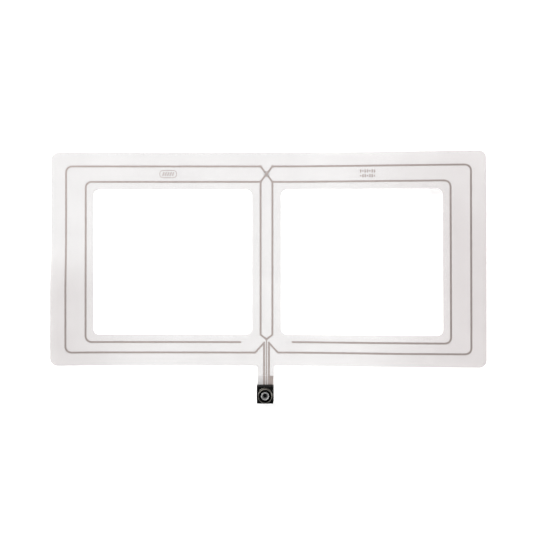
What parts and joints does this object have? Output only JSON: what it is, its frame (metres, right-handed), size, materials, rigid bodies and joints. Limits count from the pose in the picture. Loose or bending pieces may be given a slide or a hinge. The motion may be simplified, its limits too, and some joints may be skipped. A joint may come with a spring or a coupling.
{
  "type": "printed antenna panel",
  "caption": "Flat flexible antenna panel for a security gate: a figure-eight loop printed on a windowed plastic film, with a short flexible tail and a coaxial jack.",
  "frame": {"origin": "bottom centre of the bounding box: midway across the panel, midway from the panel's far edge to the jack's end, at the level of the lowest terminal joint", "axes": "+X along the panel's long side, +Y away from the jack, +Z out of the printed face, the way the jack's socket faces"},
  "size_m": [0.265, 0.153, 0.014],
  "materials": {
    "film": "milky matte polyester film",
    "clear_film": "clear matte polyester film",
    "adhesive": "clear pressure-sensitive adhesive",
    "silver_ink": "screen-printed silver ink, warm grey, satin",
    "dielectric": "printed insulating ink, pale",
    "stiffener": "tan laminate, satin",
    "black_plastic": "moulded black plastic, fine texture",
    "nickel": "nickel plate",
    "tin": "dull tin plate"
  },
  "bodies": {
    "panel": {"base_film": "film", "laminating_adhesive": "adhesive", "cover_film": "clear_film", "left_loop_track": "silver_ink", "right_loop_track": "silver_ink", "left_stub_track": "silver_ink", "right_stub_track": "silver_ink", "left_centre_track": "silver_ink", "right_centre_track": "silver_ink", "centre_feed_track": "silver_ink", "lower_crossing_track": "silver_ink", "crossover_insulator": "dielectric", "crossover_bridge": "silver_ink", "badge_print": "silver_ink", "code_print": "silver_ink"},
    "jack_end": {"tail_film": "film", "tail_adhesive": "adhesive", "tail_cover_film": "clear_film", "left_contact_finger": "silver_ink", "centre_contact_finger": "silver_ink", "right_contact_finger": "silver_ink", "stiffener_adhesive": "adhesive", "tail_stiffener": "stiffener", "jack_base": "black_plastic", "jack_housing": "black_plastic", "outer_shell": "nickel", "contact_insulator": "black_plastic", "centre_contact": "tin", "signal_terminal": "tin", "left_ground_terminal": "tin", "right_ground_terminal": "tin", "terminal_joints": "tin"}
  },
  "joints": [
    {"name": "tail_flex", "type": "hinge", "parent": "panel", "child": "jack_end", "pos_m": [0, -0.05795, 0.00125], "axis": [1, 0, 0], "range_deg": [-75, 75], "stiffness_Nm_per_rad": 0.04}
  ]
}
